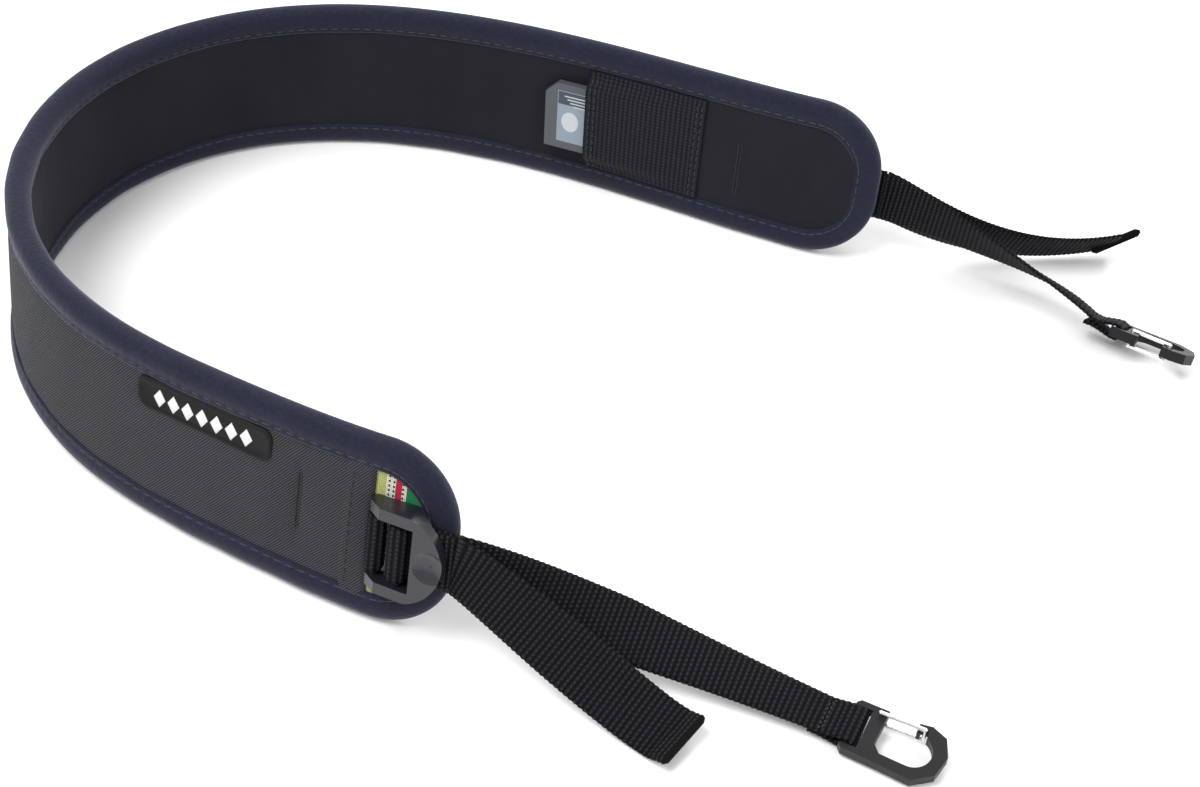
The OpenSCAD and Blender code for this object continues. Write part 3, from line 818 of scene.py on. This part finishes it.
def build_pocket(mats):
    s = np.linspace(*POCKET_S, 80)
    v = np.linspace(8.4, PAD_H - 8.4, 60)
    ss, vv = np.meshgrid(s, v, indexing="ij")
    top = pocket_top(ss, vv)
    face, rear = on_pad(ss, vv, top), on_pad(ss, vv, top - 0.8)[:, ::-1]
    uv = np.stack([ss, vv], -1)
    pocket = fix_normals(skin("elastic_pocket_cloth", np.concatenate([face, rear], 1),
                              np.concatenate([uv, uv[:, ::-1]], 1)))
    paint(pocket, mats["elastic"])
    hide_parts("elastic_pocket")
    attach(pocket, "pad")
    rows = np.arange(9.5, PAD_H - 9, 2.6)
    for name, at in (("mouth_a", 94.6), ("mouth_b", 93.0), ("closed_a", 58.2), ("closed_b", 59.8)):
        row_on_face("pocket_stitches_" + name, np.full_like(rows, at), rows, pocket_top, 1, 1.9, mats)


def build_card(mats, nodes):
    """Plain printed shapes on the card's label, and the materials of the card's CAD parts."""
    origin, a, b, c = card_frame()

    def plate(name, corners, z, thick, mat):
        points = [origin + x * a + y * b + (z + dz) * c for dz in (0, thick) for x, y in corners]
        n = len(corners)
        faces = [tuple(range(n - 1, -1, -1)), tuple(range(n, 2 * n))]
        faces += [(j, (j + 1) % n, n + (j + 1) % n, n + j) for j in range(n)]
        obj = fix_normals(mesh_object(name, points, faces))
        obj.data.polygons.foreach_set("use_smooth", [False] * len(obj.data.polygons))
        paint(obj, mats[mat])
        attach(obj, "card")

    def box(x1, x2, y1, y2):
        return [(x1, y1), (x2, y1), (x2, y2), (x1, y2)]

    def oval(x, y, rx, ry):
        return [(x + rx * math.cos(t), y + ry * math.sin(t)) for t in np.linspace(0, 2 * math.pi, 25)[:-1]]

    top = CARD_T / 2 - 0.05
    plate("card_print_band", box(-12.6, 11.6, -9.1, -4.6), top, 0.06, "print_dark")
    plate("card_print_oval", oval(7.4, 1.6, 2.9, 3.6), top, 0.06, "print_pale")
    plate("card_print_bar", box(-11, 2.6, 5.2, 7.6), top, 0.06, "print_dark")
    for k in range(4):
        y = -8 + k * 1.1
        line = box(2.0, 9.5 - k, y + 0.1, y + 0.5)
        plate(f"card_print_line_{k}", line, top + 0.05, 0.05, "print_pale")
    paint(nodes["memory_card"], mats["card_plastic"])
    paint(nodes["card_label"], mats["card_paper"])
    paint(nodes["card_lock_slider"], mats["lock_plastic"])


# ---- Webbing ends, buckles and clips ----

def build_end(end, mats, nodes):
    buckle, strap_body, tail_body = end + "_buckle", end + "_strap_end", end + "_tail_end"
    _, a, _, _ = buckle_frame(end)

    wrap_r = MID_BAR_R + BAR_GAP + WEB_T / 2
    left, right = MID_BAR[0] - wrap_r, MID_BAR[0] + wrap_r
    arc = [(MID_BAR[0] + wrap_r * math.cos(t), MID_BAR[1] + wrap_r * math.sin(t))
           for t in np.radians(np.arange(180, -1, -15))]
    profile = [(EXIT_A - 0.05, RUN_C), (left, RUN_C)] + arc + [(right, TAIL_C), (EXIT_A - 0.05, TAIL_C)]
    centre, across = in_buckle(end, rounded(profile, 0.9, 4))
    wrap = webbing(end + "_wrap_webbing", centre, np.repeat(across[None], len(centre), 0),
                   np.full(len(centre), WEB_W))
    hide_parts(end + "_strap_wrap")
    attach(wrap, buckle)

    anchor_r = ANCHOR_BAR_R + BAR_GAP + WEB_T / 2
    arc = [(ANCHOR_BAR[0] + anchor_r * math.cos(t), ANCHOR_BAR[1] + anchor_r * math.sin(t))
           for t in np.radians(np.arange(170, -101, -15))]
    profile = [(-14, -1.2), (-11.8, -0.6)] + arc + [(-10.0, -0.75), (-11.5, -2.2), (-14, -2.6)]
    centre, across = in_buckle(end, rounded(profile, 0.8, 3))
    anchor = webbing(end + "_anchor_loop", centre, np.repeat(across[None], len(centre), 0),
                     np.full(len(centre), WEB_W))
    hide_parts(end + "_anchor_webbing")
    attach(anchor, "pad")

    strap = webbing(end + "_load_webbing", *strap_route(end))
    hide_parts(end + "_strap")
    tail = webbing(end + "_tail_webbing", *tail_route(end))
    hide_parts(end + "_tail")
    stop = build_stop(end)
    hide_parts(end + "_tail_stop")
    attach(stop, tail_body)
    for piece, body, c in ((strap, strap_body, RUN_C), (tail, tail_body, TAIL_C)):
        start = exit_point(end, c) - 1.5 * a
        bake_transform(piece)
    for piece in (wrap, anchor, strap, tail, stop):
        paint(piece, mats["webbing"])

    at, x, y, z = clip_frame(end)
    rows = np.arange(-LOOP_W / 2 + 0.9, LOOP_W / 2 - 0.8, 0.7)
    points, normals = [], []
    for side in (1, -1):
        for k, r in enumerate(rows):
            points.append(at + (-LOOP_SEAM + 0.7 * (k % 2)) * x + r * y + side * (WEB_T + 0.12) * z)
            normals.append(side * z)
    half = len(rows)
    # The second row runs back, so that the rows make one closed path
    points = points[:half] + points[half:][::-1]
    normals = normals[:half] + normals[half:][::-1]
    sewn = stitches(end + "_loop_threads", points, normals, 1.0, 0.45, 0.3)
    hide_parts(end + "_loop_stitching")
    paint(sewn, mats["black_thread"])
    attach(sewn, strap_body)

    paint(nodes[end + "_ladder_lock"], mats["acetal"])
    paint(nodes[end + "_clip_body"], mats["black_metal"])
    paint(nodes[end + "_wire_gate"], mats["wire_metal"])
    for node, width in ((end + "_ladder_lock", 0.9), (end + "_clip_body", 0.6)):
        bevel = nodes[node].modifiers.new("soft_edges", "BEVEL")
        bevel.width = width * MM
        bevel.segments = 4
        bevel.limit_method = "ANGLE"
        bevel.angle_limit = math.radians(40)


def build_stop(end):
    """The doubled, sewn end of a tail."""
    if end == "near":
        centre, across, _, _ = tail_route(end)
        d = unit(centre[-1] - centre[-2])
        w = across[-1]
        first = centre[-1]
    else:
        d, w = unit(FAR_STOP_TOWARD), unit(FAR_STOP_ACROSS)
        first = np.array(TAIL_END[end]) - 1.0 * d
    steps = np.linspace(0, STOP_DEPTH - 0.6, 8)
    line = np.array([first + q * d for q in steps])
    widths = np.full(8, WEB_W - 0.3)
    return webbing(end + "_stop_webbing", line, np.repeat(w[None], 8, 0), widths, thick=2.6)


# ---- Floor, light and camera ----

CAMERA_AT = (0.34, -362.37, 355.0)
CAMERA_PITCH, CAMERA_ROLL = 44.1, 2.6
LENS, SENSOR = 52.62, 36.0


def look(position, right, up):
    """A matrix for an object that looks along its -Z from position."""
    back = np.cross(right, up)
    rows = [(right[i], up[i], back[i], position[i]) for i in range(3)]
    return Matrix(rows + [(0, 0, 0, 1)])


def build_camera():
    data = bpy.data.cameras.new("camera")
    data.lens, data.sensor_width = LENS, SENSOR
    data.clip_start = 0.01
    camera = bpy.data.objects.new("camera", data)
    bpy.context.collection.objects.link(camera)
    pitch, roll = math.radians(CAMERA_PITCH), math.radians(CAMERA_ROLL)
    right = np.array([1.0, 0, 0])
    up = np.array([0, math.sin(pitch), math.cos(pitch)])
    tilted_right = math.cos(roll) * right + math.sin(roll) * up
    tilted_up = math.cos(roll) * up - math.sin(roll) * right
    camera.matrix_world = look(np.array(CAMERA_AT) * MM, tilted_right, tilted_up)
    bpy.context.scene.camera = camera


def lamp(name, position, target, size, power):
    data = bpy.data.lights.new(name, "AREA")
    data.shape = "DISK"
    data.size = size
    data.energy = power
    obj = bpy.data.objects.new(name, data)
    bpy.context.collection.objects.link(obj)
    forward = unit(np.array(target) - np.array(position))
    right = unit(np.cross(forward, [0.01, 0.02, 1]))
    obj.matrix_world = look(position, right, np.cross(right, forward))


def build_stage():
    floor = mesh_object("floor", [(-6000, -6000, 0), (6000, -6000, 0), (6000, 6000, 0), (-6000, 6000, 0)],
                        [(0, 1, 2, 3)])
    g = Graph("floor", 0.9, specular=0.1)
    g.shader.inputs["Base Color"].default_value = (0.93, 0.93, 0.935, 1)
    paint(floor, g.material)
    world = bpy.data.worlds.new("world")
    world.use_nodes = True
    world.node_tree.nodes["Background"].inputs["Color"].default_value = (1, 1, 1, 1)
    world.node_tree.nodes["Background"].inputs["Strength"].default_value = 0.75
    bpy.context.scene.world = world
    bpy.context.scene.view_settings.view_transform = "Standard"
    lamp("key", (-0.5, -0.2, 1.1), (0, 0, 0), 0.7, 11)
    lamp("back", (0.4, 1.0, 0.8), (0, 0, 0.02), 0.8, 9)
    lamp("fill", (0.9, -0.7, 0.7), (0, 0, 0.02), 0.9, 5)


def materials():
    return {
        "twill": twill(), "lining": lining(), "suede": suede(), "webbing": webbing_cloth(),
        "elastic": elastic_cloth(), "pattern_cloth": pattern_cloth(), "wire_metal": wire_metal(),
        "seam_thread": thread_cloth("seam_thread", (0.010, 0.012, 0.022), (0.035, 0.042, 0.07)),
        "black_thread": thread_cloth("black_thread", (0.006, 0.006, 0.008), (0.03, 0.03, 0.035)),
        "foam": moulded("foam", (0.03, 0.03, 0.032), (0.06, 0.06, 0.064), 0.9, 700),
        "soft_rubber": moulded("soft_rubber", (0.003, 0.003, 0.0035), (0.007, 0.007, 0.008), 0.6, 1500,
                               specular=0.2),
        "label_print": moulded("label_print", (0.62, 0.62, 0.63), (0.72, 0.72, 0.73), 0.6, 1500),
        "acetal": moulded("acetal", (0.008, 0.0085, 0.012), (0.014, 0.015, 0.020), 0.3, 2500, coat=0.25),
        "black_metal": moulded("black_metal", (0.004, 0.004, 0.005), (0.010, 0.010, 0.012), 0.45, 3000,
                               specular=0.28),
        "card_plastic": moulded("card_plastic", (0.055, 0.06, 0.07), (0.075, 0.08, 0.095), 0.42, 3000),
        "card_paper": moulded("card_paper", (0.20, 0.25, 0.31), (0.24, 0.29, 0.35), 0.4, 800, coat=0.2),
        "print_dark": moulded("print_dark", (0.03, 0.04, 0.06), (0.04, 0.05, 0.075), 0.4, 800),
        "print_pale": moulded("print_pale", (0.45, 0.48, 0.5), (0.52, 0.55, 0.57), 0.4, 800),
        "lock_plastic": moulded("lock_plastic", (0.5, 0.51, 0.52), (0.6, 0.61, 0.62), 0.45, 1500),
    }


def main():
    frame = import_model()
    build_camera()
    build_stage()
    mats = materials()
    nodes = frame["nodes"]
    build_pad(mats)
    build_binding(mats)
    build_sewing(mats)
    build_label(mats)
    build_pocket(mats)
    build_card(mats, nodes)
    for end in ENDS:
        build_end(end, mats, nodes)
    bpy.context.view_layer.update()


main()
